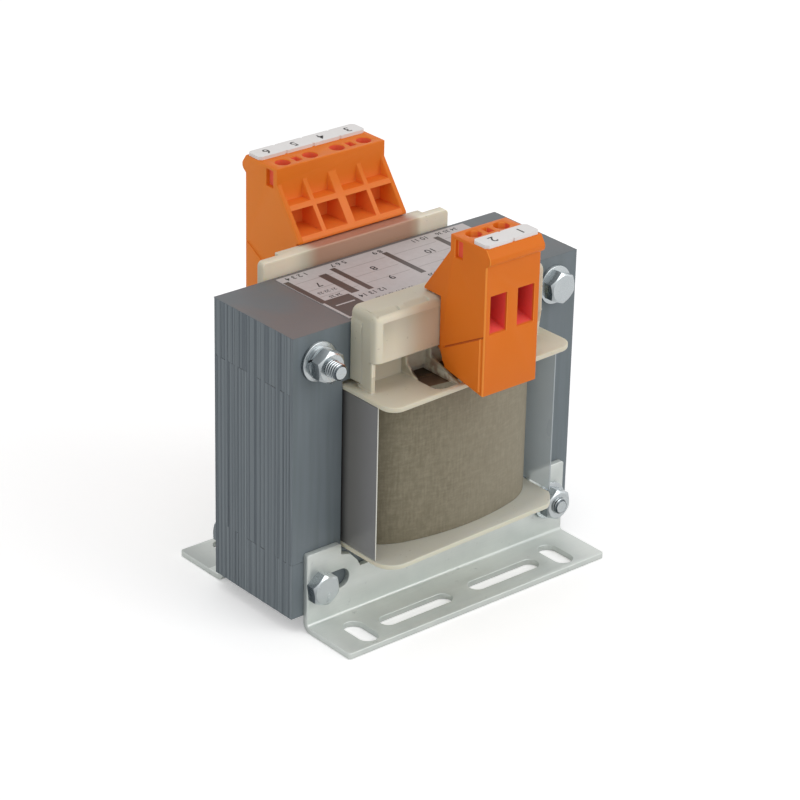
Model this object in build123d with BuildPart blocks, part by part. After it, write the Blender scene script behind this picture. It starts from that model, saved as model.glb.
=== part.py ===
import os
from math import sin

from build123d import *

os.makedirs("parts", exist_ok=True)

# Sizes are in millimetres. X runs across the front, the front faces -Y,
# and Z = 0 is the surface that the transformer is screwed to.

# Core of stacked E and I sheets
outer_leg = 14.0            # each I is punched from a window of an E, so this sets every sheet size
core_stack = 29.0
core_lift = 3.9             # underside of the core above the mounting surface
packet_count = 9            # the sheets are stacked in packets that turn end for end
varnish_gap = 0.04          # varnish between two packets
joint_gap = 0.06            # air gap where an E meets its I
edge_stagger = 0.12         # how far the sheet edges lie out of line
core_hole = 4.7

# Bobbin
tube_clearance = 0.3        # moulded tube round the centre leg
tube_wall = 1.2
flange_thickness = 1.2
flange_side_gap = 0.3       # flange to the outer legs
flange_margin = 5.7         # flange beyond the coil
upper_flange_corner = 3.5
lower_flange_corner = 5.0
bobbin_foot_gap = 0.3       # lower flange above the lower yoke
bobbin_head_gap = 1.0       # upper flange below the upper yoke
front_opening_half = 12.8   # lead-out opening in the upper flange
rear_opening_half = 15.5
opening_rim = 1.9
opening_corner = 2.5
guide_x = 5.75              # webs that part the front opening into lead channels

# Carriers for the terminal blocks, moulded with the bobbin
carrier_gap = 0.4           # carrier wall in front of the core face
carrier_wall = 2.3
carrier_rise = 4.1          # top of the carriers above the core
front_wall_inset = 1.7      # wall ends from the outer legs
rear_wall_inset = 0.4
front_wall_corner = 4.0
rear_wall_corner = 1.2
wall_foot_step = 1.4        # wall ends stop above the flange
wall_foot_width = 3.9
post_depth = 3.9
post_width = 1.6
rail_depth = 4.5
rail_height = 11.8
rail_skin = 1.5
rail_left_inset = 2.0       # rail ends from the outer legs
rail_right_inset = 3.5
rail_corner = 2.2
rail_top_corner = 1.8
rear_rail_inset = 1.8       # rear rail ends within the block
rear_deck_inset = 6.2       # deeper top of the rear wall within the wall's ends
gusset_thickness = 1.2
gusset_depth = 3.4
web_thickness = 0.9
web_foot = 3.6              # outer web in front of the post, on the flange
guide_fall = 0.8            # the webs between slope to this far below the flange's top
web_knee = 2.5              # height at which a web meets the post's line
web_drawback = 0.7          # its upper end behind the post's line
dip_width = 1.6             # dips along the rail's top, deepest at the front
dip_depth = 1.0
dip_front = 1.0             # behind the rail's front
dip_length = 6.4
dip_starts = (1.2, 9.6)     # from the rail's left end

# Windings, from the tube outwards
coil_side_gap = 1.0         # coil to the outer legs
coil_bulge = 0.793          # the coil stands out in front by this share of the window's width
shoulder_width = 11.0       # the front bulge runs into the corner curve at the shoulder
shoulder_fall = 2.0
flank_inset = 0.5           # flat flank within the core face
corner_inset = 4.1          # middle of the corner curve from the coil's side
corner_reach = 5.4          # and beyond the core face
wrap_thickness = 0.35
secondary_share = 0.436     # of the copper's depth beside the tube
insulation_thickness = 0.4
layer_clearance = 0.05
coil_end_clearance = 0.1

# Insulation films beside the coil
film_thickness = 0.3
left_film_overlap = 0.8     # film beyond the coil's front
right_film_drawback = 1.2   # film behind the coil's front
film_clearance = 0.25

# Terminal blocks, one profile with two or four poles
pole_pitch = 8.0
front_poles = 2
rear_poles = 4
front_block_x = 0.2
rear_block_x = 1.2
block_reach = 15.2          # outer face in front of the rail
block_rise = 16.2           # top above the carrier
block_foot_gap = 0.2        # underside above the flange
top_reach = 3.1             # inner edge of the top in front of the rail
band_height = 3.9
lip_reach = 1.15
lip_height = 4.0
lip_slope = 0.6
lip_flat = 1.4
lip_crown = 0.25
lip_round = 1.1             # rounding of the lip
barb_reach = 5.3            # barb behind the front of the rail
barb_thickness = 0.6
block_clearance = 0.3       # block to rail
block_edge = 0.5            # rounding of the outer upright edges
chin_rise = 2.7             # lower end of the chin above the flange
chin_run = 1.9
wall_rib = 1.2
middle_rib = 2.3
shelf_rise = 8.0            # shelf above the carrier
shelf_thickness = 1.1
cell_rise = 1.8             # floor of the lower recesses above the carrier
entry_width = 4.9
entry_head = 4.9            # top of the wire entries above the carrier
entry_foot = 4.4            # bottom of the wire entries below the carrier's top
entry_rise = 1.8
chamber_width = 5.0
chamber_depth = 4.8
chamber_foot = 6.0          # chamber floor below the carrier's top
chamber_head = 6.6          # chamber roof above the carrier
well_diameter = 3.7
well_offset = 6.15          # screw wells in front of the rail
pocket_width = 1.8
pocket_length = 2.6
pocket_depth = 5.0
panel_height = 0.4
panel_margin = 1.0          # raised panel within the outer face and the underside
panel_inset = 1.4           # and in front of the hook's face
panel_drop = 2.4            # its inner edge below the rail
panel_rise = 0.5            # its upper edge above the rail's underside at the inner end
panel_slope = 6.6           # and rising this far to the outer end
panel_toe_run = 1.5
panel_toe_rise = 3.0
recess_start = 4.6          # side recess in front of the rail
recess_width = 2.6
recess_height = 4.2
recess_drop = 0.9           # side recess below the top
recess_depth = 1.1
latch_reach = 2.9
latch_height = 2.4
latch_inset = 1.6
latch_root = 1.0            # latch inside the block
latch_nose_run = 0.6
latch_nose_height = 1.2

# Marker strips on the blocks
marker_width = 4.9
marker_inset = 2.9          # middle of the strip from the outer face
marker_thickness = 0.8
marker_end_gap = 0.3
marker_notch = 0.35
marker_corner = 0.7         # corners cut off

# Clamps, screws and current bars in the blocks
cage_clearance = 0.2
cage_height = 9.6
cage_foot = 1.0             # cage stands this far above the chamber floor
cage_wall = 0.7
cage_roof = 1.6
screw_diameter = 2.5
screw_bore_clearance = 0.1
screw_head_diameter = 3.3
screw_head_height = 2.2
screw_head_gap = 1.0
screw_length = 7.0
screw_slot_width = 0.8
screw_slot_depth = 1.1
bar_width = 2.4
bar_thickness = 0.8
bar_offset = 2.7            # middle of the bar's tail in front of the rail
bar_tail_gap = 0.8          # end of the tail above the flange
bar_overrun = 1.0           # bar beyond the screw's axis
bar_slot_clearance = 0.12

# Lead-outs from the windings to the bars
lead_diameter = 0.9
lead_start = 8.1            # leads leave the coil this far beyond the core face
lead_spread = 0.9           # and a little nearer the middle than their bars
lead_cross_height = 1.2     # height over which they cross to the bars

# Foot brackets
sheet = 1.5
left_end_inset = 3.4        # bracket's left end from the core's side, seen from its own side
right_end_inset = 2.3
foot_width = 16.9
bend_radius = 0.8
foot_corner = 0.7
tab_rise = 16.0             # top of the tabs above the core's underside
tab_corner = 0.7
tab_span = 6.2              # inner edge of a tab from its bolt
step_rise = 13.2
step_span = 8.8
step_fall = 0.6
slope_rise = 10.2
slope_span = 11.0
saddle_rise = 8.5
saddle_span = 11.9
leg_slot_inward = 8.6       # slot in the upright leg, from its bolt
leg_slot_outward = 2.4
leg_slot_height = 4.8
end_slot_inset = 12.0       # from the core's sides
end_slot_length = 10.0
end_slot_width = 5.0
slot_offset = 10.25         # slot centres in front of the core face
long_slot_inner = 3.0
slot_land = 3.5             # between an end slot and the long slot beside it
long_slot_width = 4.4

# Core bolts
bolt_diameter = 4.0
high_overlength = 11.0      # bolt length beyond the stack's thickness
low_overlength = 8.0
hex_across_flats = 7.0
head_height = 2.8
nut_height = 3.2
nut_clearance = 0.05
washer_diameter = 9.4
washer_thickness = 0.8
washer_clearance = 0.15
hex_edge = 0.5
head_turn = 30.0            # degrees
nut_turn = 12.0

# Rating label on top of the core
label_width = 56.0
label_margin = 1.2          # label within the core's faces
label_x = 2.7
label_thickness = 0.15

# Places that several pieces share
yoke_height = outer_leg
window_width = outer_leg
window_height = 3 * outer_leg
centre_leg = 2 * outer_leg
core_width = centre_leg + 2 * window_width + 2 * outer_leg
core_height = window_height + 2 * yoke_height
core_face = core_stack / 2
core_top = core_lift + core_height
core_side = core_width / 2
window_bottom = core_lift + yoke_height
window_top = core_top - yoke_height
window_outer = core_side - outer_leg
window_middle = window_outer - window_width / 2
hole_x = core_side - outer_leg / 2
low_hole_z = core_lift + yoke_height / 2
high_hole_z = core_top - yoke_height / 2
packet_pitch = core_stack / packet_count
packet_thickness = packet_pitch - varnish_gap
flange_half_width = window_outer - flange_side_gap
coil_half_width = window_outer - coil_side_gap
coil_half_depth = core_face + coil_bulge * window_width
flange_half_depth = coil_half_depth + flange_margin
flange_bottom = window_bottom + bobbin_foot_gap
flange_top = window_top - bobbin_head_gap
bobbin_height = flange_top - flange_bottom
coil_bottom = flange_bottom + flange_thickness + coil_end_clearance
coil_top = flange_top - flange_thickness - coil_end_clearance
tube_half_width = centre_leg / 2 + tube_clearance + tube_wall
tube_half_depth = core_face + tube_clearance + tube_wall
carrier_top = core_top + carrier_rise
front_wall_half = window_outer - front_wall_inset
rear_wall_half = window_outer - rear_wall_inset
wall_near = core_face + carrier_gap
wall_far = wall_near + carrier_wall
post_far = wall_near + post_depth
rail_far = post_far + rail_depth
rail_bottom = carrier_top - rail_height
rail_left = -(window_outer - rail_left_inset)
rail_right = window_outer - rail_right_inset
rear_rail_half = rear_poles * pole_pitch / 2 - rear_rail_inset
rear_rail_left = rear_block_x - rear_rail_half
rear_rail_right = rear_block_x + rear_rail_half
hook_height = carrier_top + block_clearance
hook_reach = rail_far + block_clearance
block_front = rail_far + block_reach
block_top = carrier_top + block_rise
block_bottom = flange_top + block_foot_gap
well_reach = rail_far + well_offset
chin_bottom = flange_top + chin_rise
chamber_near = well_reach - chamber_depth / 2
chamber_far = well_reach + chamber_depth / 2
chamber_bottom = carrier_top - chamber_foot
chamber_top = carrier_top + chamber_head
bar_reach = rail_far + bar_offset


def outward(side, x=0.0):
    """Plane through x, facing out of the front (side 1) or the rear (side -1), with its y up."""
    return Plane(origin=(x, 0, 0), x_dir=(side, 0, 0), z_dir=(0, -side, 0))


def section(side, x=0.0):
    """Plane across the width at x: its x runs outwards from the core's middle plane, its y up."""
    return Plane(origin=(x, 0, 0), x_dir=(0, -side, 0), z_dir=(-side, 0, 0))


def pole_places(poles, block_x):
    """Middle of each pole, from left to right."""
    return [block_x + (i - (poles - 1) / 2) * pole_pitch for i in range(poles)]


def packet_front(i):
    """Front face of packet i of the core, counted from the front."""
    return Plane.XZ.offset(core_face - i * packet_pitch)


def packet_shift(i):
    """Sideways and downward shift of packet i, which leaves the sheet edges uneven."""
    return edge_stagger * sin(2.4 * i), edge_stagger * (0.5 + 0.5 * sin(1.9 * i + 1.0))


# Core: E packets, every second one with its back at the bottom
with BuildPart() as core_e_plates:
    for i in range(packet_count):
        back_up = i % 2 == 0
        shift, drop = packet_shift(i)
        low = window_bottom + joint_gap if back_up else core_lift
        high = core_top - drop if back_up else window_top - joint_gap
        window_base = core_lift if back_up else window_bottom
        hole_z = high_hole_z if back_up else low_hole_z
        with BuildSketch(packet_front(i)):
            with Locations((shift, (low + high) / 2)):
                Rectangle(core_width, high - low)
            with Locations((-window_middle, window_base), (window_middle, window_base)):
                Rectangle(window_width, window_top - window_base if back_up else core_height,
                          align=(Align.CENTER, Align.MIN), mode=Mode.SUBTRACT)
            with Locations((-hole_x, hole_z), (hole_x, hole_z)):
                Circle(core_hole / 2, mode=Mode.SUBTRACT)
        extrude(amount=-packet_thickness)
core_e_plates.part.label = "core_e_plates"
export_step(core_e_plates.part, "parts/core_e_plates.step")

# Core: I packets that close the open end of each E packet
with BuildPart() as core_i_plates:
    for i in range(packet_count):
        at_top = i % 2 == 1
        shift, drop = packet_shift(i)
        low = window_top if at_top else core_lift
        high = core_top - drop if at_top else window_bottom
        hole_z = high_hole_z if at_top else low_hole_z
        with BuildSketch(packet_front(i)):
            with Locations((-shift, (low + high) / 2)):
                Rectangle(core_width, high - low)
            with Locations((-hole_x, hole_z), (hole_x, hole_z)):
                Circle(core_hole / 2, mode=Mode.SUBTRACT)
        extrude(amount=-packet_thickness)
core_i_plates.part.label = "core_i_plates"
export_step(core_i_plates.part, "parts/core_i_plates.step")


def upright_outline(start, end, base, corner):
    """Outline of an upright plate from base to the carriers' top, with rounded top corners."""
    with BuildSketch() as outline:
        with Locations(((start + end) / 2, base)):
            Rectangle(end - start, carrier_top - base, align=(Align.CENTER, Align.MIN))
        fillet(outline.vertices().group_by(Axis.Y)[-1], radius=corner)
    return outline.sketch


front_wall = upright_outline(-front_wall_half, front_wall_half, flange_top, front_wall_corner)
rear_wall = upright_outline(-rear_wall_half, rear_wall_half, flange_top, rear_wall_corner)
front_rail = upright_outline(rail_left, rail_right, rail_bottom, rail_top_corner)
rear_rail = upright_outline(-rear_rail_right, -rear_rail_left, rail_bottom, rail_top_corner)

# Bobbin: tube, two flanges and the walls and rails that carry the terminal blocks
with BuildPart() as bobbin:
    with BuildSketch(Plane.XY.offset(flange_bottom)):
        Rectangle(2 * tube_half_width, 2 * tube_half_depth)
    extrude(amount=bobbin_height)
    for height, corner in ((flange_bottom, lower_flange_corner),
                           (flange_top - flange_thickness, upper_flange_corner)):
        with BuildSketch(Plane.XY.offset(height)):
            RectangleRounded(2 * flange_half_width, 2 * flange_half_depth, corner)
        extrude(amount=flange_thickness)
    # Rails that the blocks hook over, open underneath
    for side, outline, start, end in ((1, front_rail, rail_left, rail_right),
                                      (-1, rear_rail, -rear_rail_right, -rear_rail_left)):
        with BuildSketch(outward(side).offset(wall_near)):
            add(outline)
        extrude(amount=rail_far - wall_near)
        upright_edges = bobbin.edges(Select.LAST).filter_by(Axis.Z)
        fillet(upright_edges.group_by(Axis.Y)[0 if side == 1 else -1], radius=rail_corner)
        with BuildSketch(outward(side).offset(wall_near)):
            with Locations(((start + end) / 2, rail_bottom)):
                Rectangle(end - start - 2 * gusset_thickness, rail_height - rail_skin,
                          align=(Align.CENTER, Align.MIN))
        extrude(amount=rail_far - rail_skin - wall_near, mode=Mode.SUBTRACT)
    # Walls beside the core, with stepped ends above the flange
    for side, outline, wall_half in ((1, front_wall, front_wall_half), (-1, rear_wall, rear_wall_half)):
        with BuildSketch(outward(side).offset(wall_near)):
            add(outline)
            with Locations((-wall_half, flange_top), (wall_half, flange_top)):
                Rectangle(2 * wall_foot_width, 2 * wall_foot_step, mode=Mode.SUBTRACT)
        extrude(amount=carrier_wall)
    # Deep ends and top of the front wall, and deeper top of the rear wall
    with BuildSketch(outward(1).offset(wall_near)):
        add(front_wall)
        with Locations((0, flange_top)):
            Rectangle(2 * (front_wall_half - post_width), carrier_top - rail_skin - flange_top,
                      align=(Align.CENTER, Align.MIN), mode=Mode.SUBTRACT)
            Rectangle(2 * front_wall_half, wall_foot_step, align=(Align.CENTER, Align.MIN),
                      mode=Mode.SUBTRACT)
    extrude(amount=post_depth)
    with BuildSketch(outward(-1).offset(wall_near)):
        with Locations((0, carrier_top - rail_skin / 2)):
            Rectangle(2 * (rear_wall_half - rear_deck_inset), rail_skin)
    extrude(amount=post_depth)
    # Gusset below each end of the front rail
    for x in (rail_left, rail_right - gusset_thickness):
        with BuildSketch(section(1, x)):
            with Locations((wall_far, flange_top)):
                Rectangle(post_far + gusset_depth - wall_far, rail_bottom - flange_top,
                          align=(Align.MIN, Align.MIN))
        extrude(amount=-gusset_thickness)
    # Lead-out openings through the upper flange, with webs that guide the leads
    opening_far = flange_half_depth - opening_rim
    front_guides = (-guide_x, guide_x)
    rear_guides = (rear_block_x - pole_pitch, rear_block_x + pole_pitch)
    for side, opening_half, guides in ((1, front_opening_half, front_guides),
                                       (-1, rear_opening_half, rear_guides)):
        opening_middle = (wall_far + opening_far) / 2
        with BuildSketch(Plane.XY.offset(flange_top)):
            with Locations((0, -side * opening_middle)):
                RectangleRounded(2 * opening_half, opening_far - wall_far, opening_corner)
            with Locations((0, -side * (opening_middle + tube_half_depth) / 2)):
                Rectangle(2 * opening_half, opening_middle - tube_half_depth)
        extrude(amount=-flange_thickness, mode=Mode.SUBTRACT)
        web_runs = [(-opening_half, post_far + web_foot, 0), (opening_half, post_far + web_foot, 0)]
        web_runs += [(x, opening_far, guide_fall) for x in guides]
        for x, web_far, fall in web_runs:
            with BuildSketch(section(side, x)):
                with BuildLine():
                    Polyline((tube_half_depth, flange_top - flange_thickness),
                             (web_far, flange_top - flange_thickness), (web_far, flange_top - fall),
                             (post_far, flange_top + web_knee), (post_far - web_drawback, rail_bottom),
                             (wall_near, rail_bottom), (wall_near, flange_top),
                             (tube_half_depth, flange_top), close=True)
                make_face()
            extrude(amount=web_thickness / 2, both=True)
    # Hole through the tube for the centre leg
    with BuildSketch(Plane.XY.offset(flange_bottom)):
        Rectangle(centre_leg + 2 * tube_clearance, core_stack + 2 * tube_clearance)
    extrude(amount=bobbin_height, mode=Mode.SUBTRACT)
    # Dips along the rail's top
    for start in dip_starts:
        with BuildSketch(section(1, rail_left + start)):
            with BuildLine():
                Polyline((rail_far - dip_front, carrier_top),
                         (rail_far - dip_front, carrier_top - dip_depth),
                         (rail_far - dip_front - dip_width, carrier_top), close=True)
            make_face()
        extrude(amount=-dip_length, mode=Mode.SUBTRACT)
bobbin.part.label = "bobbin"
export_step(bobbin.part, "parts/bobbin.step")


def coil_plan(inset):
    """Plan of the coil, a bulged oblong, taken in by inset."""
    shoulder_x = coil_half_width - shoulder_width
    shoulder_y = coil_half_depth - shoulder_fall
    corner_x = coil_half_width - corner_inset
    corner_y = core_face + corner_reach
    flank_y = core_face - flank_inset
    with BuildSketch() as plan:
        with BuildLine():
            for y in (-1, 1):
                ThreePointArc((-shoulder_x, y * shoulder_y), (0, y * coil_half_depth),
                              (shoulder_x, y * shoulder_y))
                for x in (-1, 1):
                    ThreePointArc((x * shoulder_x, y * shoulder_y), (x * corner_x, y * corner_y),
                                  (x * coil_half_width, y * flank_y))
            for x in (-1, 1):
                Line((x * coil_half_width, -flank_y), (x * coil_half_width, flank_y))
        make_face()
        if inset > 0:
            offset(amount=-inset)
    return plan.sketch


# Insets of the layer boundaries from the outside of the coil
wrap_inner = wrap_thickness
secondary_outer = wrap_inner + layer_clearance
copper_depth = (coil_half_width - tube_half_width - wrap_thickness - insulation_thickness
                - 4 * layer_clearance)
secondary_inner = secondary_outer + secondary_share * copper_depth
insulation_outer = secondary_inner + layer_clearance
insulation_inner = insulation_outer + insulation_thickness
primary_outer = insulation_inner + layer_clearance


def layer(outer_inset, inner_inset):
    """A layer of the coil between two insets."""
    outer_plan = coil_plan(outer_inset)
    inner_plan = coil_plan(inner_inset)
    with BuildPart() as ring:
        with BuildSketch(Plane.XY.offset(coil_bottom)):
            add(outer_plan)
            add(inner_plan, mode=Mode.SUBTRACT)
        extrude(amount=coil_top - coil_bottom)
    return ring


primary_plan = coil_plan(primary_outer)
with BuildPart() as primary_winding:
    with BuildSketch(Plane.XY.offset(coil_bottom)):
        add(primary_plan)
        Rectangle(2 * (tube_half_width + layer_clearance), 2 * (tube_half_depth + layer_clearance),
                  mode=Mode.SUBTRACT)
    extrude(amount=coil_top - coil_bottom)
primary_winding.part.label = "primary_winding"
export_step(primary_winding.part, "parts/primary_winding.step")

interwinding_insulation = layer(insulation_outer, insulation_inner)
interwinding_insulation.part.label = "interwinding_insulation"
export_step(interwinding_insulation.part, "parts/interwinding_insulation.step")

secondary_winding = layer(secondary_outer, secondary_inner)
secondary_winding.part.label = "secondary_winding"
export_step(secondary_winding.part, "parts/secondary_winding.step")

outer_wrap = layer(0, wrap_inner)
outer_wrap.part.label = "outer_wrap"
export_step(outer_wrap.part, "parts/outer_wrap.step")


def insulation_film(x, reach):
    """Stiff film that stands between the coil and an outer leg of the core."""
    with BuildPart() as film:
        with BuildSketch(Plane.XY.offset(coil_bottom)):
            with Locations((x, 0)):
                Rectangle(film_thickness, 2 * reach)
        extrude(amount=coil_top - coil_bottom)
    return film


film_x = coil_half_width + film_clearance + film_thickness / 2
left_insulation_film = insulation_film(-film_x, coil_half_depth + left_film_overlap)
left_insulation_film.part.label = "left_insulation_film"
export_step(left_insulation_film.part, "parts/left_insulation_film.step")

right_insulation_film = insulation_film(film_x, coil_half_depth - right_film_drawback)
right_insulation_film.part.label = "right_insulation_film"
export_step(right_insulation_film.part, "parts/right_insulation_film.step")


def terminal_block(side, poles, block_x):
    """Moulded block, hooked over its rail, with a screw well and a wire entry for each pole."""
    half = poles * pole_pitch / 2
    places = pole_places(poles, block_x)
    lip_bottom = block_top - lip_height
    top_near = rail_far + top_reach
    band_bottom = block_top - band_height
    shelf_top = carrier_top + shelf_rise
    cell_floor = carrier_top + cell_rise
    barb_tip = rail_far - barb_reach
    chin_top = rail_bottom - block_clearance
    entry_top = carrier_top + entry_head
    entry_bottom = carrier_top - entry_foot
    with BuildPart() as block:
        with BuildSketch(section(side, block_x)) as profile:
            with BuildLine():
                Polyline((block_front, block_bottom), (block_front, lip_bottom),
                         (block_front + lip_reach, lip_bottom + lip_slope),
                         (block_front + lip_reach, lip_bottom + lip_slope + lip_flat),
                         (block_front - lip_crown, block_top), (top_near, block_top),
                         (top_near, band_bottom), (barb_tip, hook_height + barb_thickness),
                         (barb_tip, hook_height), (hook_reach, hook_height), (hook_reach, chin_top),
                         (hook_reach + chin_run, chin_bottom), close=True)
            make_face()
            fillet(profile.vertices().group_by(Axis.X)[-1], radius=lip_round)
        extrude(amount=half, both=True)
        # Cheeks over the ends of the rear rail
        if side == -1:
            for end in (-1, 1):
                with BuildSketch(section(side, block_x + end * half)):
                    with Locations((post_far + block_clearance, chin_top)):
                        Rectangle(hook_reach - post_far - block_clearance, hook_height - chin_top,
                                  align=(Align.MIN, Align.MIN))
                extrude(amount=side * end * wall_rib)
        outer_edges = block.edges().filter_by(Axis.Z).filter_by(
            lambda e: abs(abs(e.center().Y) - block_front) < block_edge / 2)
        fillet(outer_edges, radius=block_edge)
        # Latch under the rail
        with BuildSketch(section(side, block_x)):
            with BuildLine():
                Polyline((hook_reach + latch_root, chin_top), (hook_reach - latch_reach, chin_top),
                         (hook_reach - latch_reach + latch_nose_run, chin_top - latch_nose_height),
                         (hook_reach + latch_root, chin_top - latch_height), close=True)
            make_face()
        extrude(amount=half - latch_inset, both=True)
        # Raised panel low on both side faces
        with BuildSketch(section(side, block_x)):
            with BuildLine():
                Polyline((hook_reach + panel_inset, chin_top + panel_rise),
                         (block_front - panel_margin, chin_top + panel_rise + panel_slope),
                         (block_front - panel_margin, block_bottom + panel_margin),
                         (hook_reach + panel_inset + panel_toe_run, block_bottom + panel_toe_rise),
                         (hook_reach + panel_inset, chin_top - panel_drop), close=True)
            make_face()
        extrude(amount=half + panel_height, both=True)
        # Recesses behind the sloping face, two above each other for each pole
        for i, x in enumerate(places):
            near_rib = wall_rib if i == 0 else (wall_rib / 2 if i % 2 else middle_rib / 2)
            far_rib = wall_rib if i == poles - 1 else (middle_rib / 2 if i % 2 else wall_rib / 2)
            cell_width = pole_pitch - near_rib - far_rib
            with BuildSketch(section(side, x + (near_rib - far_rib) / 2)):
                with Locations((top_near, shelf_top)):
                    Rectangle(top_near - barb_tip, band_bottom - shelf_top,
                              align=(Align.MAX, Align.MIN))
                with Locations((top_near, cell_floor)):
                    Rectangle(top_near - barb_tip, shelf_top - shelf_thickness - cell_floor,
                              align=(Align.MAX, Align.MIN))
            extrude(amount=cell_width / 2, both=True, mode=Mode.SUBTRACT)
        # Wire entries with a floor that rises inwards, and the chambers behind them
        for x in places:
            with BuildSketch(section(side, x)):
                with BuildLine():
                    Polyline((block_front, entry_bottom), (block_front, entry_top),
                             (chamber_far, entry_top), (chamber_far, entry_bottom + entry_rise),
                             close=True)
                make_face()
            extrude(amount=entry_width / 2, both=True, mode=Mode.SUBTRACT)
            with BuildSketch(section(side, x)):
                with Locations((chamber_near, chamber_bottom)):
                    Rectangle(chamber_depth, chamber_top - chamber_bottom,
                              align=(Align.MIN, Align.MIN))
            extrude(amount=chamber_width / 2, both=True, mode=Mode.SUBTRACT)
            # Slot for the current bar
            with BuildSketch(section(side, x)):
                with Locations((bar_reach, block_bottom)):
                    Rectangle(bar_thickness + 2 * bar_slot_clearance,
                              chamber_bottom + cage_foot - block_bottom,
                              align=(Align.CENTER, Align.MIN))
                with Locations((bar_reach - bar_thickness / 2 - bar_slot_clearance, chamber_bottom)):
                    Rectangle(chamber_near - bar_reach + bar_thickness, cage_foot,
                              align=(Align.MIN, Align.MIN))
            extrude(amount=bar_width / 2 + bar_slot_clearance, both=True, mode=Mode.SUBTRACT)
        # Screw wells, and a pocket between the poles of each pair
        with BuildSketch(Plane.XY.offset(block_top)):
            with Locations([(x, -side * well_reach) for x in places]):
                Circle(well_diameter / 2)
        extrude(amount=chamber_top - block_top, mode=Mode.SUBTRACT)
        with BuildSketch(Plane.XY.offset(block_top)):
            with Locations([(places[i] + pole_pitch / 2, -side * well_reach) for i in range(0, poles, 2)]):
                Rectangle(pocket_width, pocket_length)
        extrude(amount=-pocket_depth, mode=Mode.SUBTRACT)
        # Recess high on both side faces
        for end in (-1, 1):
            with BuildSketch(section(side, block_x + end * half)):
                with Locations((rail_far + recess_start, block_top - recess_drop)):
                    Rectangle(recess_width, recess_height, align=(Align.MIN, Align.MAX))
            extrude(amount=side * end * recess_depth, mode=Mode.SUBTRACT)
    return block


front_terminal_block = terminal_block(1, front_poles, front_block_x)
front_terminal_block.part.label = "front_terminal_block"
export_step(front_terminal_block.part, "parts/front_terminal_block.step")

rear_terminal_block = terminal_block(-1, rear_poles, rear_block_x)
rear_terminal_block.part.label = "rear_terminal_block"
export_step(rear_terminal_block.part, "parts/rear_terminal_block.step")


def marker_strip(side, poles, block_x):
    """Plain strip on top of a block, notched where it can be broken between poles."""
    marker_reach = block_front - marker_inset
    edge = marker_reach - marker_width / 2
    with BuildPart() as strip:
        with BuildSketch(Plane.XY.offset(block_top)) as outline:
            with Locations((block_x, -side * marker_reach)):
                Rectangle(poles * pole_pitch - 2 * marker_end_gap, marker_width)
            chamfer(outline.vertices(), length=marker_corner)
            for x in pole_places(poles, block_x)[:-1]:
                with Locations((x + pole_pitch / 2, -side * edge),
                               (x + pole_pitch / 2, -side * (edge + marker_width))):
                    Circle(marker_notch, mode=Mode.SUBTRACT)
        extrude(amount=marker_thickness)
    return strip


front_marker_strip = marker_strip(1, front_poles, front_block_x)
front_marker_strip.part.label = "front_marker_strip"
export_step(front_marker_strip.part, "parts/front_marker_strip.step")

rear_marker_strip = marker_strip(-1, rear_poles, rear_block_x)
rear_marker_strip.part.label = "rear_marker_strip"
export_step(rear_marker_strip.part, "parts/rear_marker_strip.step")

# Heights inside a terminal, from the chamber floor up
cage_bottom = chamber_bottom + cage_foot
cage_top = cage_bottom + cage_height
head_seat = cage_top + screw_head_gap


def clamp_cages(side, places):
    """Square cages that pull a wire up against the screw."""
    cage_width = chamber_width - 2 * cage_clearance
    cage_depth = chamber_depth - 2 * cage_clearance
    with BuildPart() as cages:
        with BuildSketch(outward(side).offset(well_reach - cage_depth / 2)):
            with Locations([(side * x, cage_bottom) for x in places]):
                Rectangle(cage_width, cage_height, align=(Align.CENTER, Align.MIN))
            with Locations([(side * x, cage_bottom + cage_wall) for x in places]):
                Rectangle(cage_width - 2 * cage_wall, cage_height - cage_wall - cage_roof,
                          align=(Align.CENTER, Align.MIN), mode=Mode.SUBTRACT)
        extrude(amount=cage_depth)
        with BuildSketch(Plane.XY.offset(cage_top)):
            with Locations([(x, -side * well_reach) for x in places]):
                Circle(screw_diameter / 2 + screw_bore_clearance)
        extrude(amount=-cage_roof, mode=Mode.SUBTRACT)
    return cages


def terminal_screws(side, places):
    """Slotted screws, standing in the wells and through the cage roofs."""
    with BuildPart() as screws:
        with BuildSketch(Plane.XY.offset(head_seat)):
            with Locations([(x, -side * well_reach) for x in places]):
                Circle(screw_head_diameter / 2)
        extrude(amount=screw_head_height)
        with BuildSketch(Plane.XY.offset(head_seat)):
            with Locations([(x, -side * well_reach) for x in places]):
                Circle(screw_diameter / 2)
        extrude(amount=-screw_length)
        with BuildSketch(Plane.XY.offset(head_seat + screw_head_height)):
            with Locations([(x, -side * well_reach) for x in places]):
                Rectangle(pole_pitch, screw_slot_width)
        extrude(amount=-screw_slot_depth, mode=Mode.SUBTRACT)
    return screws


def current_bars(side, places):
    """Bent bars from under each cage to a tail below the block, where the lead is soldered."""
    tail_end = flange_top + bar_tail_gap
    with BuildPart() as bars:
        for x in places:
            with BuildSketch(section(side, x)):
                with Locations((bar_reach, tail_end)):
                    Rectangle(bar_thickness, chamber_bottom + bar_thickness - tail_end,
                              align=(Align.CENTER, Align.MIN))
                with Locations((bar_reach, chamber_bottom)):
                    Rectangle(well_reach + bar_overrun - bar_reach, bar_thickness,
                              align=(Align.MIN, Align.MIN))
            extrude(amount=bar_width / 2, both=True)
    return bars


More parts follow.
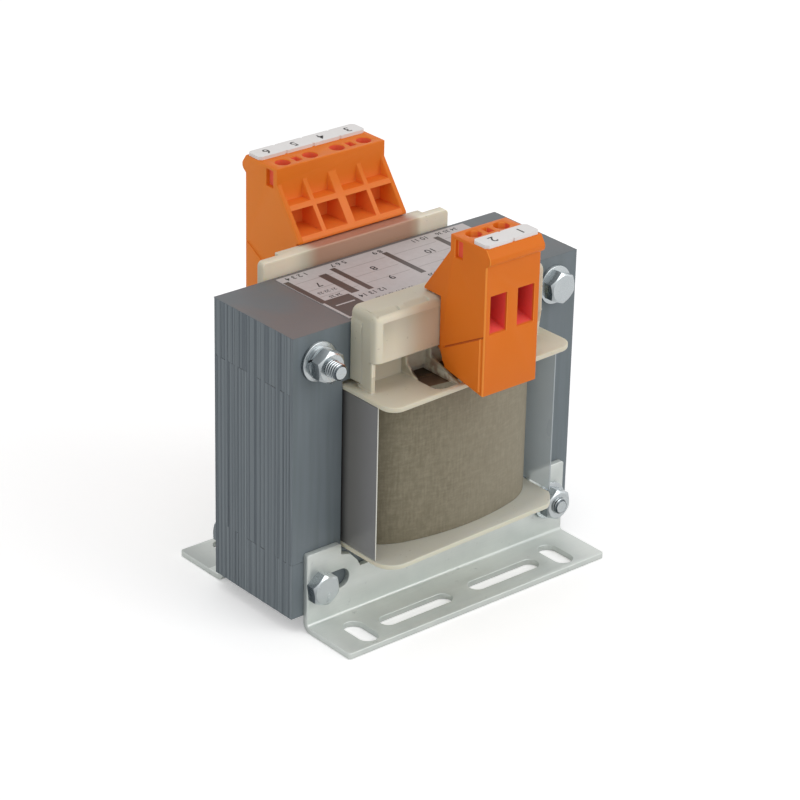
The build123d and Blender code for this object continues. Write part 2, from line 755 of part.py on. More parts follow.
def leads(side, places):
    """Stiff lead-outs that rise from the coil through the flange opening to the bar tails."""
    start_reach = core_face + lead_start
    lead_reach = bar_reach - bar_thickness / 2 - lead_diameter / 2 - layer_clearance
    with BuildPart() as wires:
        for x in places:
            start_x = x * lead_spread
            with BuildLine() as route:
                Polyline((start_x, -side * start_reach, coil_top + coil_end_clearance),
                         (start_x, -side * start_reach, flange_top),
                         (x, -side * lead_reach, flange_top + lead_cross_height),
                         (x, -side * lead_reach, chin_bottom))
            with BuildSketch(Plane(route.line @ 0, z_dir=route.line % 0)):
                Circle(lead_diameter / 2)
            sweep(path=route.line, transition=Transition.RIGHT)
    return wires


front_places = pole_places(front_poles, front_block_x)
rear_places = pole_places(rear_poles, rear_block_x)

front_clamp_cages = clamp_cages(1, front_places)
front_clamp_cages.part.label = "front_clamp_cages"
export_step(front_clamp_cages.part, "parts/front_clamp_cages.step")

rear_clamp_cages = clamp_cages(-1, rear_places)
rear_clamp_cages.part.label = "rear_clamp_cages"
export_step(rear_clamp_cages.part, "parts/rear_clamp_cages.step")

front_terminal_screws = terminal_screws(1, front_places)
front_terminal_screws.part.label = "front_terminal_screws"
export_step(front_terminal_screws.part, "parts/front_terminal_screws.step")

rear_terminal_screws = terminal_screws(-1, rear_places)
rear_terminal_screws.part.label = "rear_terminal_screws"
export_step(rear_terminal_screws.part, "parts/rear_terminal_screws.step")

front_current_bars = current_bars(1, front_places)
front_current_bars.part.label = "front_current_bars"
export_step(front_current_bars.part, "parts/front_current_bars.step")

rear_current_bars = current_bars(-1, rear_places)
rear_current_bars.part.label = "rear_current_bars"
export_step(rear_current_bars.part, "parts/rear_current_bars.step")

secondary_leads = leads(1, front_places)
secondary_leads.part.label = "secondary_leads"
export_step(secondary_leads.part, "parts/secondary_leads.step")

primary_leads = leads(-1, rear_places)
primary_leads.part.label = "primary_leads"
export_step(primary_leads.part, "parts/primary_leads.step")


def foot_bracket(side):
    """Folded sheet foot with slotted holes, held by the two lower core bolts."""
    foot_reach = core_face + foot_width
    tab_height = core_lift + tab_rise
    step_height = core_lift + step_rise
    slope_height = core_lift + slope_rise
    saddle_height = core_lift + saddle_rise
    tab_inner = hole_x - tab_span
    step_inner = hole_x - step_span
    slope_inner = hole_x - slope_span
    saddle_half = hole_x - saddle_span
    slot_row = core_face + slot_offset
    end_slot_x = core_side - end_slot_inset
    long_slot_outer = end_slot_x - end_slot_width / 2 - slot_land
    left_end = -(core_side - left_end_inset)
    bracket_length = core_side - right_end_inset - left_end
    with BuildPart() as bracket:
        with BuildSketch(section(side, side * (left_end + bracket_length / 2))):
            with BuildLine():
                Polyline((core_face, 0), (foot_reach, 0), (foot_reach, sheet),
                         (core_face + sheet, sheet), (core_face + sheet, tab_height),
                         (core_face, tab_height), close=True)
            make_face()
        extrude(amount=bracket_length / 2, both=True)
        # The fold
        along = bracket.edges().filter_by(Axis.X)
        inside = along.sort_by_distance((0, -side * (core_face + sheet), sheet))[0]
        fillet(inside, radius=bend_radius)
        outside = bracket.edges().filter_by(Axis.X).sort_by_distance((0, -side * core_face, 0))[0]
        fillet(outside, radius=bend_radius + sheet)
        # Outline of the upright leg: low in the middle, with a tab round each bolt
        with BuildSketch(outward(side).offset(core_face)):
            with BuildLine():
                Polyline((-tab_inner, tab_height), (-tab_inner, step_height),
                         (-step_inner, step_height - step_fall), (-slope_inner, slope_height),
                         (-saddle_half, saddle_height), (saddle_half, saddle_height),
                         (slope_inner, slope_height), (step_inner, step_height - step_fall),
                         (tab_inner, step_height), (tab_inner, tab_height), close=True)
            make_face()
            slot_middle = hole_x + (leg_slot_outward - leg_slot_inward) / 2
            with Locations((-slot_middle, low_hole_z), (slot_middle, low_hole_z)):
                SlotOverall(leg_slot_inward + leg_slot_outward, leg_slot_height)
        extrude(amount=sheet, mode=Mode.SUBTRACT)
        # Slots in the foot
        with BuildSketch(Plane.XY):
            with Locations((-end_slot_x, -side * slot_row), (end_slot_x, -side * slot_row)):
                SlotOverall(end_slot_length, end_slot_width, rotation=90)
            long_middle = (long_slot_inner + long_slot_outer) / 2
            with Locations((-long_middle, -side * slot_row), (long_middle, -side * slot_row)):
                SlotOverall(long_slot_outer - long_slot_inner, long_slot_width)
        extrude(amount=sheet, mode=Mode.SUBTRACT)
        # Rounded corners
        foot_corners = bracket.edges().filter_by(Axis.Z).filter_by(
            lambda e: abs(abs(e.center().Y) - foot_reach) < 0.01)
        fillet(foot_corners, radius=foot_corner)
        tab_corners = bracket.edges().filter_by(Axis.Y).filter_by(
            lambda e: abs(e.center().Z - tab_height) < 0.01)
        fillet(tab_corners, radius=tab_corner)
    return bracket


front_foot_bracket = foot_bracket(1)
front_foot_bracket.part.label = "front_foot_bracket"
export_step(front_foot_bracket.part, "parts/front_foot_bracket.step")

rear_foot_bracket = foot_bracket(-1)
rear_foot_bracket.part.label = "rear_foot_bracket"
export_step(rear_foot_bracket.part, "parts/rear_foot_bracket.step")

# Core bolts: x, z, the side of the head, the seats of the head and the nut, and the bolt's length
high_seat = core_face
low_seat = core_face + sheet
high_length = core_stack + high_overlength
low_length = core_stack + low_overlength
bolts = (
    (-hole_x, high_hole_z, -1, high_seat + washer_thickness, high_seat + washer_thickness, high_length),
    (hole_x, high_hole_z, 1, high_seat + washer_thickness, high_seat + washer_thickness, high_length),
    (-hole_x, low_hole_z, 1, low_seat, low_seat + washer_thickness, low_length),
    (hole_x, low_hole_z, -1, low_seat, low_seat + washer_thickness, low_length),
)
hex_radius = hex_across_flats / 3 ** 0.5

with BuildPart() as core_bolts:
    for x, z, side, head_seat_reach, nut_seat_reach, bolt_length in bolts:
        with BuildSketch(outward(side, x).offset(head_seat_reach)):
            with Locations((0, z)):
                RegularPolygon(hex_radius, 6, rotation=head_turn)
        extrude(amount=head_height)
        with BuildSketch(outward(side, x).offset(head_seat_reach)):
            with Locations((0, z)):
                Circle(bolt_diameter / 2)
        extrude(amount=-bolt_length)
    head_tops = core_bolts.faces().filter_by(Axis.Y).filter_by(
        lambda f: low_seat + head_height / 2 < abs(f.center().Y) < low_seat + 2 * head_height)
    chamfer(head_tops.edges(), length=hex_edge)
core_bolts.part.label = "core_bolts"
export_step(core_bolts.part, "parts/core_bolts.step")

with BuildPart() as core_nuts:
    for x, z, side, head_seat_reach, nut_seat_reach, bolt_length in bolts:
        with BuildSketch(outward(-side, x).offset(nut_seat_reach)):
            with Locations((0, z)):
                RegularPolygon(hex_radius, 6, rotation=nut_turn)
                Circle(bolt_diameter / 2 + nut_clearance, mode=Mode.SUBTRACT)
        extrude(amount=nut_height)
core_nuts.part.label = "core_nuts"
export_step(core_nuts.part, "parts/core_nuts.step")

with BuildPart() as core_washers:
    for x, z, side, head_seat_reach, nut_seat_reach, bolt_length in bolts:
        for face, seat in ((side, head_seat_reach), (-side, nut_seat_reach)):
            if seat not in (high_seat, low_seat):
                with BuildSketch(outward(face, x).offset(seat - washer_thickness)):
                    with Locations((0, z)):
                        Circle(washer_diameter / 2)
                        Circle(bolt_diameter / 2 + washer_clearance, mode=Mode.SUBTRACT)
                extrude(amount=washer_thickness)
core_washers.part.label = "core_washers"
export_step(core_washers.part, "parts/core_washers.step")

# Rating label, a thin sheet stuck on the upper yoke
with BuildPart() as rating_label:
    with BuildSketch(Plane.XY.offset(core_top)):
        with Locations((label_x, 0)):
            Rectangle(label_width, core_stack - 2 * label_margin)
    extrude(amount=label_thickness)
rating_label.part.label = "rating_label"
export_step(rating_label.part, "parts/rating_label.step")
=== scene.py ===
# %% [markdown]
# # An open transformer on slotted feet
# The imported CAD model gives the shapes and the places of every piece. This lesson gives them the
# surfaces of the real thing: stacked sheet edges, milky moulded nylon, orange terminal blocks,
# zinc plating and a printed label. Everything is in metres and in the frame of the CAD model.

# %% Load the frame and note its size
import math
import random

import bpy
from mathutils import Matrix, Vector
from mathutils.bvhtree import BVHTree


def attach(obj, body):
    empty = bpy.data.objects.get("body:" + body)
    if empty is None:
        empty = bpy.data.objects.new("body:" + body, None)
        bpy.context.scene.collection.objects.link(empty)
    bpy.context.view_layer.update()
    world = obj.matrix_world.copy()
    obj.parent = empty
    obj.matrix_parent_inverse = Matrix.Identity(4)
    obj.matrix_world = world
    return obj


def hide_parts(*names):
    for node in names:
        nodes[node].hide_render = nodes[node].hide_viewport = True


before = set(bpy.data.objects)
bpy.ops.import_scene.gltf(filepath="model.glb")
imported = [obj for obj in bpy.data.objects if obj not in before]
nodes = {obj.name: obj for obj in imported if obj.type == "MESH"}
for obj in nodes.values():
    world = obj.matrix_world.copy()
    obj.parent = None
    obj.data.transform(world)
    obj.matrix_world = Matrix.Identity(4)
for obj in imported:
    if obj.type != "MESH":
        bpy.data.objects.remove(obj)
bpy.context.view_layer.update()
MM = 0.001

# %% Sizes that several cells share, in millimetres
LEG = 14.0                          # width of an outer leg, of a yoke and of a window
CORE_WIDTH = 6 * LEG
CORE_BOTTOM, CORE_TOP = 3.9, 73.9
BOLT_X = 35.0
HIGH_BOLT_Z, LOW_BOLT_Z = 66.9, 10.9
BOLT_DIAMETER = 4.0
STRIP_TOP = 95.0
LABEL_TOP = 74.05
FRONT_POLES = (4.2, -3.8)           # x of the poles, in the order of their numbers
REAR_POLES = (13.2, 5.2, -2.8, -10.8)
SMALLEST_STEP = 0.002               # points nearer than this are one point

# %% [markdown]
# ## The camera
# The photograph looks down at the front left corner through a long lens. The place and the
# direction were fitted to corners of the core and the feet, so the picture and the model lie on
# each other.

# %% Camera
azimuth, elevation, roll = (math.radians(angle) for angle in (-40.417, 25.684, 1.326))
back = Vector((math.sin(azimuth) * math.cos(elevation), -math.cos(azimuth) * math.cos(elevation),
               math.sin(elevation)))
level = Vector((math.cos(azimuth), math.sin(azimuth), 0))
upright = back.cross(level)
right = level * math.cos(roll) + upright * math.sin(roll)
up = upright * math.cos(roll) - level * math.sin(roll)
camera_data = bpy.data.cameras.new("camera")
camera_data.lens = 135.92
camera_data.sensor_width = 36
camera = bpy.data.objects.new("camera", camera_data)
camera.matrix_world = (Matrix.Translation((-0.410711, -0.483752, 0.346760))
                       @ Matrix((right, up, back)).transposed().to_4x4())
bpy.context.scene.collection.objects.link(camera)
bpy.context.scene.camera = camera
print("camera", [round(v, 3) for v in camera.matrix_world.translation])

# %% [markdown]
# ## Painting with expressions
# A material is easier to read as arithmetic than as a list of nodes. A Reading is one socket
# whose value varies over a surface, and plus, minus, times and the comparisons on it add Math
# nodes. A Paint is one material: it makes any other node from its type, its settings and its
# inputs.

# %% The Reading and Paint classes


class Reading:
    """A value that varies over a surface."""

    def __init__(self, paint, socket):
        self.paint = paint
        self.socket = socket

    def math(self, operation, first, second=0.0):
        return self.paint.node("ShaderNodeMath", {"operation": operation}, {0: first, 1: second})

    def __add__(self, other):
        return self.math("ADD", self, other)

    __radd__ = __add__

    def __sub__(self, other):
        return self.math("SUBTRACT", self, other)

    def __rsub__(self, other):
        return self.math("SUBTRACT", other, self)

    def __neg__(self):
        return self.math("SUBTRACT", 0.0, self)

    def __abs__(self):
        return self.math("ABSOLUTE", self)

    def __mul__(self, other):
        return self.math("MULTIPLY", self, other)

    __rmul__ = __mul__

    def __gt__(self, other):
        return self.math("GREATER_THAN", self, other)

    def __lt__(self, other):
        return self.math("LESS_THAN", self, other)

    def larger(self, other):
        return self.math("MAXIMUM", self, other)

    def ramp(self, low, high):
        """0 at low, 1 at high, smooth between them."""
        return self.paint.node("ShaderNodeMapRange", {"interpolation_type": "SMOOTHSTEP"},
                               {"Value": self, "From Min": low, "From Max": high})

    def fall(self, low, high):
        """1 at low, 0 at high, smooth between them."""
        return 1 - self.ramp(low, high)


class Paint:
    """A material, built on the Principled shader."""

    def __init__(self, name, **constants):
        self.material = bpy.data.materials.new(name)
        self.material.use_nodes = True
        self.tree = self.material.node_tree
        self.shader = self.tree.nodes["Principled BSDF"]
        for socket, value in constants.items():
            self.shader.inputs[socket.replace("_", " ")].default_value = value

    def node(self, kind, settings=None, inputs=None, output=0):
        made = self.tree.nodes.new(kind)
        for name, value in (settings or {}).items():
            setattr(made, name, value)
        for name, value in (inputs or {}).items():
            if isinstance(value, Reading):
                self.tree.links.new(value.socket, made.inputs[name])
            else:
                made.inputs[name].default_value = value
        return Reading(self, made.outputs[output])

    def place(self, stretch=(1, 1, 1)):
        """Place on the object in millimetres, stretched for grain."""
        spot = self.node("ShaderNodeTexCoord", output="Object")
        scale = tuple(part / MM for part in stretch)
        return self.node("ShaderNodeMapping", None, {"Vector": spot, "Scale": scale})

    def split(self, vector):
        """The three parts of a vector, each as a value."""
        outputs = self.node("ShaderNodeSeparateXYZ", None, {0: vector}).socket.node.outputs
        return [Reading(self, outputs[i]) for i in range(3)]

    def axes(self):
        """x, y and z in millimetres."""
        return self.split(self.place())

    def facing(self):
        """x, y and z of the surface's direction."""
        return self.split(self.node("ShaderNodeNewGeometry", output="Normal"))

    def noise(self, grain, detail=3.0, stretch=(1, 1, 1), roughness=0.5):
        """Cloudy noise whose grains are so many millimetres across."""
        return self.node("ShaderNodeTexNoise", None,
                         {"Vector": self.place(stretch), "Scale": 1 / grain, "Detail": detail,
                          "Roughness": roughness})

    def mix(self, amount, first, second):
        """From the first colour to the second."""
        return self.node("ShaderNodeMix", {"data_type": "RGBA"},
                         {0: amount, 6: colour(first), 7: colour(second)}, output=2)

    def coats(self, ground, *layers):
        """Lays (amount, colour) pairs over a ground, one after the other."""
        for amount, tone in layers:
            ground = self.mix(amount, ground, tone)
        return ground

    def bump(self, height, depth, strength=1.0):
        """Relief of so many millimetres."""
        return self.node("ShaderNodeBump", None,
                         {"Height": height, "Distance": depth * MM, "Strength": strength})

    def milky(self, weight, radius, scale):
        """Lets light soak in, to so many millimetres times the radius of each colour."""
        self.shader.inputs["Subsurface Weight"].default_value = weight
        self.shader.inputs["Subsurface Radius"].default_value = radius
        self.shader.inputs["Subsurface Scale"].default_value = scale * MM

    def finish(self, **links):
        for socket, value in links.items():
            self.tree.links.new(value.socket, self.shader.inputs[socket.replace("_", " ")])
        return self.material


def between(value, low, high):
    """1 where the value lies between low and high."""
    return (value > low) * (value < high)


def area(x, y, left, right, low, high):
    """1 inside a rectangle."""
    return between(x, left, right) * between(y, low, high)


def any_of(masks):
    """The largest of several masks."""
    found = masks[0]
    for mask in masks[1:]:
        found = found.larger(mask)
    return found


def colour(value):
    """A colour as a shader wants it, from the 0 to 255 numbers of a picture."""
    if isinstance(value, Reading):
        return value
    parts = []
    for part in value:
        part = part / 255
        parts.append(part / 12.92 if part <= 0.04045 else ((part + 0.055) / 1.055) ** 2.4)
    return (*parts, 1.0)


# %% [markdown]
# ## Helpers for modelling
# By hand one clicks on what an operator should work on. Here a test on the place does the
# clicking: everything is deselected, the parts that pass the test are selected, and edit mode is
# left open.

# %% Modelling helpers


def only(piece):
    """Selects this piece alone."""
    bpy.ops.object.select_all(action="DESELECT")
    piece.select_set(True)
    bpy.context.view_layer.objects.active = piece


def pick(piece, kind, test):
    """Opens edit mode with the faces or edges selected whose middle passes the test."""
    only(piece)
    bpy.ops.object.mode_set(mode="EDIT")
    bpy.ops.mesh.select_mode(type=kind)
    bpy.ops.mesh.select_all(action="DESELECT")
    bpy.ops.object.mode_set(mode="OBJECT")
    mesh = piece.data
    found = 0
    for part in (mesh.polygons if kind == "FACE" else mesh.edges):
        corners = [mesh.vertices[i].co for i in part.vertices]
        if test(sum(corners, Vector()) / len(corners) / MM):
            part.select = True
            found += 1
    bpy.ops.object.mode_set(mode="EDIT")
    return found


def linked(name, mesh):
    """A new piece with this mesh, in the scene."""
    piece = bpy.data.objects.new(name, mesh)
    bpy.context.scene.collection.objects.link(piece)
    return piece


def cutter(add, name, scale=(1, 1, 1), **settings):
    """One of Blender's basic shapes, in the place where it cuts."""
    bpy.ops.object.select_all(action="DESELECT")
    add(**settings)
    piece = bpy.context.object
    piece.name = name
    piece.scale = scale
    return piece


def shape(add, name, **settings):
    """One of Blender's basic shapes, its place and turn applied to the mesh."""
    piece = cutter(add, name, **settings)
    bpy.ops.object.transform_apply(location=True, rotation=True, scale=True)
    return piece


def joined(name, pieces):
    only(pieces[0])
    for piece in pieces:
        piece.select_set(True)
    bpy.ops.object.join()
    bpy.context.object.name = name
    return bpy.context.object


def apply_modifier(piece, kind, **settings):
    only(piece)
    modifier = piece.modifiers.new(kind.lower(), kind)
    for name, value in settings.items():
        setattr(modifier, name, value)
    bpy.ops.object.modifier_apply(modifier=modifier.name)


def boolean(piece, operation, tool):
    """Cuts a piece with a tool, and throws the tool away."""
    apply_modifier(piece, "BOOLEAN", operation=operation, solver="EXACT", object=tool)
    bpy.data.objects.remove(tool)


def smooth(piece, angle=35):
    only(piece)
    bpy.ops.object.shade_smooth_by_angle(angle=math.radians(angle))


def coat(piece, material):
    """Gives a piece this one material."""
    piece.data.materials.clear()
    piece.data.materials.append(material)


def fasten(piece, slot, *replaced):
    """Lets a finished piece ride on the root, and hides the CAD parts that it replaces."""
    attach(piece, "root")
    if replaced:
        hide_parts(*replaced)
    print(piece.name, len(piece.data.polygons), "faces")


FACING_FRONT = (math.pi / 2, 0, 0)    # turns a shape from +Z to -Y

# %% [markdown]
# ## Floor, room and lamps
# The photograph was taken in a white tent: light comes from all round, and the ground is pure
# white. The world gives that even light, and camera rays and reflections see it as white. The
# floor is white too and keeps a soft shadow. Two large soft lamps add a little direction, the
# stronger from the front right.

# %% Floor
floor = shape(bpy.ops.mesh.primitive_plane_add, "floor", size=6, location=(0, 0, -0.0001))
white_floor = Paint("white_floor", Roughness=0.9, Specular_IOR_Level=0.1,
                    Base_Color=(0.9, 0.9, 0.9, 1), Emission_Color=(1, 1, 1, 1))
path = white_floor.tree.nodes.new("ShaderNodeLightPath")
glow = Reading(white_floor, path.outputs["Is Camera Ray"]) * 0.34
coat(floor, white_floor.finish(Emission_Strength=glow))

# %% World and lamps
world = bpy.data.worlds.new("tent")
world.use_nodes = True
bpy.context.scene.world = world
links = world.node_tree.links
sky = world.node_tree.nodes["Background"]
sky.inputs["Color"].default_value = (1, 1, 1, 1)
rays = world.node_tree.nodes.new("ShaderNodeLightPath")
TENT_LIGHT = 0.66
LAMP_SIZE, LAMP_AIM = 0.9, Vector((0, 0, 0.04))


def world_math(operation, first, second):
    made = world.node_tree.nodes.new("ShaderNodeMath")
    made.operation = operation
    made.use_clamp = True
    for socket, value in zip(made.inputs, (first, second)):
        if isinstance(value, (int, float)):
            socket.default_value = value
        else:
            links.new(value, socket)
    return made.outputs[0]


seen = world_math("ADD", rays.outputs["Is Camera Ray"], rays.outputs["Is Transmission Ray"])
strength = world_math("MAXIMUM", rays.outputs["Is Glossy Ray"], TENT_LIGHT)
links.new(world_math("MAXIMUM", seen, strength), sky.inputs["Strength"])


def soft_lamp(name, place, power):
    """A round lamp that points at the transformer."""
    lamp_data = bpy.data.lights.new(name, "AREA")
    lamp_data.shape = "DISK"
    lamp_data.size = LAMP_SIZE
    lamp_data.energy = power
    lamp = bpy.data.objects.new(name, lamp_data)
    away = Vector(place) - LAMP_AIM
    turn = away.to_track_quat("Z", "Y").to_matrix().to_4x4()
    lamp.matrix_world = Matrix.Translation(place) @ turn
    bpy.context.scene.collection.objects.link(lamp)
    print("lamp", name, power, "W")


soft_lamp("key", (0.45, -0.95, 0.75), 3.4)
soft_lamp("top", (-0.1, -0.1, 1.3), 1.6)
bpy.context.scene.view_settings.view_transform = "Standard"

# %% [markdown]
# ## Rounded copies of CAD pieces
# A CAD solid has mathematically sharp edges, and real moulded or punched edges catch a thin line
# of light. The triangles of the CAD node are merged and cleaned to plain faces in a copy, and a
# Bevel rounds every edge that turns by more than the given angle. Where an edge is shorter than
# the bevel is wide, its corners overshoot, and they are drawn back on to the sharp solid.

# %% Rounded copies


def rounded_copy(name, node, width, segments=2, angle=32):
    piece = linked(name, nodes[node].data.copy())
    only(piece)
    bpy.ops.object.mode_set(mode="EDIT")
    bpy.ops.mesh.select_all(action="SELECT")
    bpy.ops.mesh.remove_doubles(threshold=SMALLEST_STEP * MM)
    bpy.ops.mesh.dissolve_limited(angle_limit=math.radians(0.3))
    bpy.ops.object.mode_set(mode="OBJECT")
    sharp = BVHTree.FromObject(piece, bpy.context.evaluated_depsgraph_get())
    apply_modifier(piece, "BEVEL", width=width * MM, segments=segments, limit_method="ANGLE",
                   angle_limit=math.radians(angle), use_clamp_overlap=False, loop_slide=False)
    overshoots = 0
    for vertex in piece.data.vertices:
        nearest, _, _, distance = sharp.find_nearest(vertex.co)
        if distance > 0.45 * width * MM:
            vertex.co = nearest
            overshoots += 1
    print(name, "overshoots:", overshoots)
    smooth(piece)
    return piece


# %% [markdown]
# ## The core's sheets
# The core is a stack of silicon-steel sheets half a millimetre thick. An E-shaped and an I-shaped
# sheet close each layer, and packets of layers are turned end for end, so the joints alternate.
# The CAD model has nine thick packets. Here every sheet is its own thin solid. One E and one I
# are modelled, and each copy gets a small shift and a tint of its own, which makes the fine
# uneven lines.

# %% One E sheet and one I sheet
SHEET_THICKNESS = 0.455
SHEET_HOLE = 4.7
I_HEIGHT = 13.88                    # a little less than a yoke, which leaves a fine joint


def flat_grid(name, columns, rows, width, height, z_middle):
    """An upright grid facing -Y, in millimetres."""
    return shape(bpy.ops.mesh.primitive_grid_add, name, scale=(width * MM, height * MM, 1),
                 x_subdivisions=columns, y_subdivisions=rows, size=1, rotation=FACING_FRONT,
                 location=(0, 0, z_middle * MM))


def thicken(piece, depth):
    """Turns a flat outline into a sheet that reaches back to +Y."""
    pick(piece, "FACE", lambda middle: True)
    bpy.ops.mesh.dissolve_limited(angle_limit=math.radians(1))
    bpy.ops.mesh.select_all(action="SELECT")
    bpy.ops.mesh.extrude_region_move(TRANSFORM_OT_translate={"value": (0, depth * MM, 0)})
    bpy.ops.mesh.select_all(action="SELECT")
    bpy.ops.mesh.normals_make_consistent(inside=False)
    bpy.ops.object.mode_set(mode="OBJECT")


def drill(piece, x, z, diameter, depth=4.0, sides=20):
    """Bores a round hole along Y."""
    boolean(piece, "DIFFERENCE",
            cutter(bpy.ops.mesh.primitive_cylinder_add, "drill", vertices=sides,
                   radius=diameter / 2 * MM, depth=depth * MM, location=(x * MM, 0, z * MM),
                   rotation=FACING_FRONT))


e_sheet = flat_grid("e_sheet", 6, 4, CORE_WIDTH, 4 * LEG, CORE_TOP - 2 * LEG)
window_faces = pick(e_sheet, "FACE",
                    lambda middle: LEG < abs(middle.x) < 2 * LEG and middle.z < CORE_TOP - LEG)
bpy.ops.mesh.delete(type="FACE")
bpy.ops.object.mode_set(mode="OBJECT")
thicken(e_sheet, SHEET_THICKNESS)
i_sheet = flat_grid("i_sheet", 6, 1, CORE_WIDTH, I_HEIGHT, CORE_BOTTOM + I_HEIGHT / 2)
thicken(i_sheet, SHEET_THICKNESS)
for x in (-BOLT_X, BOLT_X):
    drill(e_sheet, x, HIGH_BOLT_Z, SHEET_HOLE)
    drill(i_sheet, x, LOW_BOLT_Z, SHEET_HOLE)
print("window faces removed:", window_faces, "E faces:", len(e_sheet.data.polygons))

# %% The stack
STACK_FRONT, STACK_REAR = -14.49, 14.46
SHEET_GAP = 0.02
SKIN_SIZE, SKIN_HEIGHT = (83.9, 28.9, 0.1), 73.845    # varnish that closes the gaps on top
chance = random.Random(84)
centre = Matrix.Translation((0, 0, (CORE_BOTTOM + CORE_TOP) / 2 * MM))
turned = centre @ Matrix.Rotation(math.pi, 4, "Y") @ centre.inverted()
layers = []
reach = STACK_FRONT
back_up = True
while reach < STACK_REAR - SHEET_THICKNESS:
    group = chance.choice((1, 2, 2, 3, 4))
    shift = chance.uniform(-0.035, 0.035)
    for i in range(group):
        if reach < STACK_REAR + 0.01 - SHEET_THICKNESS:
            layers.append((reach, shift + chance.uniform(-0.015, 0.015), back_up, i == 0))
            reach += SHEET_THICKNESS + SHEET_GAP
    reach += chance.uniform(0.03, 0.1)
    if chance.random() < 0.55:
        back_up = not back_up
sheets = []
for place, shift, back_up, first in layers:
    for master, side in ((e_sheet, 1), (i_sheet, -1)):
        mesh = master.data.copy()
        if not back_up:
            mesh.transform(turned)
        at_top = (side == 1) == back_up
        drop = -chance.uniform(0.02, 0.05) if at_top else chance.uniform(0.0, 0.03)
        mesh.transform(Matrix.Translation((side * shift * MM, place * MM, drop * MM)))
        tint = mesh.attributes.new("tint", "FLOAT", "FACE")
        dark = first if side == 1 else chance.random() < 0.35
        value = chance.uniform(0.55, 0.95) if dark else chance.uniform(0.0, 0.55)
        tint.data.foreach_set("value", [value] * len(mesh.polygons))
        sheets.append(linked("sheet", mesh))
sheets.append(shape(bpy.ops.mesh.primitive_cube_add, "top_skin", size=1,
                    location=(0, 0, SKIN_HEIGHT * MM), scale=[v * MM for v in SKIN_SIZE]))
core_sheets = joined("core_sheets", sheets)
bpy.data.objects.remove(e_sheet)
bpy.data.objects.remove(i_sheet)
print("layers:", len(layers))

# %% [markdown]
# The stack was dipped in a thin slate-grey varnish. It lies smooth over the top, and on the sides
# the sheet edges show through as lines of slightly different grey. The tint of each sheet drives
# that, broken up by stretched noise along the edges. The edges of the front sheets carry a painted
# highlight, and the top is painted darker as shade, with a painted mauve reflection in patches.

# %% Core varnish
varnish = Paint("core_varnish")
y = varnish.axes()[1]               # in millimetres, as all places below
face_y, face_z = varnish.facing()[1:]
tint = varnish.node("ShaderNodeAttribute", {"attribute_name": "tint"}, output="Fac")
streak = varnish.noise(1.0, stretch=(1.2, 5.0, 0.06))
cloud = varnish.noise(16.0, detail=2)
sheet_edge = 1 - face_z.ramp(0.5, 0.8).larger((face_y * face_y).ramp(0.4, 0.6))
line = sheet_edge * (tint * 0.75 + streak * 0.6 - 0.3)
# Painted highlight on the edges of the front sheets, at the corner and one millimetre back.
front_sheets = between(-y, 14.1, 15.0).larger(between(-y, 13.1, 13.3))
front_edge_highlight = sheet_edge * front_sheets * streak.ramp(0.3, 0.6) * 0.55
pale_line = sheet_edge * tint.fall(0.0, 0.08) * 0.35
run = varnish.noise(2.2, stretch=(1, 1, 0.05)).ramp(0.35, 0.7) * (-face_y).ramp(0.5, 0.9)
# The top is painted darker as shade, with a painted mauve reflection in noisy patches.
reflection_patch = varnish.noise(22.0, detail=2).ramp(0.42, 0.6)
shaded_top_with_reflection = varnish.mix(reflection_patch, (97, 102, 105), (106, 99, 98))
speck = varnish.noise(0.6, detail=2).ramp(0.72, 0.8)
ground = varnish.coats(varnish.mix(cloud, (107, 118, 124), (119, 127, 132)),
                       (line.ramp(0.2, 0.8) * 0.8, (76, 86, 95)),
                       (pale_line.larger(front_edge_highlight), (142, 152, 157)),
                       (run * 0.5, (98, 108, 110)),
                       (face_z.ramp(0.5, 0.9) * 0.95, shaded_top_with_reflection),
                       (speck * 0.35, (140, 146, 148)))
skin = varnish.bump(varnish.noise(2.5, detail=4), 0.05, 0.5)
coat(core_sheets, varnish.finish(Base_Color=ground, Roughness=0.36 + 0.22 * cloud, Normal=skin))
fasten(core_sheets, "core_varnish", "core_e_plates", "core_i_plates")

# %% [markdown]
# ## The bobbin
# The bobbin is moulded in one piece from natural nylon: a tube, two flanges and the rails that
# the terminal blocks hook over. The plastic is milky, so light soaks a little way in, which a
# constant subsurface weight gives. Its edges are softly rounded. The flanges came out of the
# mould a little warped, and a loop over the points draws their right front corners in.

# %% Bobbin shape
LOWER_FLANGE, UPPER_FLANGE = (15.0, 20.0), (56.5, 59.2)    # z just below and above each flange
CORNER_RADIUS = 10.0
corner_middle = Vector((17.7, -21.3))
bobbin = rounded_copy("bobbin_moulding", "bobbin", 0.28, segments=3)
for vertex in bobbin.data.vertices:
    x, y, z = vertex.co / MM
    lower = LOWER_FLANGE[0] < z < LOWER_FLANGE[1]
    upper = UPPER_FLANGE[0] < z < UPPER_FLANGE[1]
    out = Vector((x, y)) - corner_middle
    if lower and out.x > 0 > out.y and out.length > CORNER_RADIUS:
        x, y = corner_middle + out * (CORNER_RADIUS / out.length)
    warp = min(max(x / 27, 0), 1) * min(max((-y - 14.6) / 10, 0), 1)
    if upper:
        y, z = y + 1.3 * warp, z + 0.6 * warp
    elif lower:
        y += 0.9 * warp
    vertex.co = Vector((x, y, z)) * MM
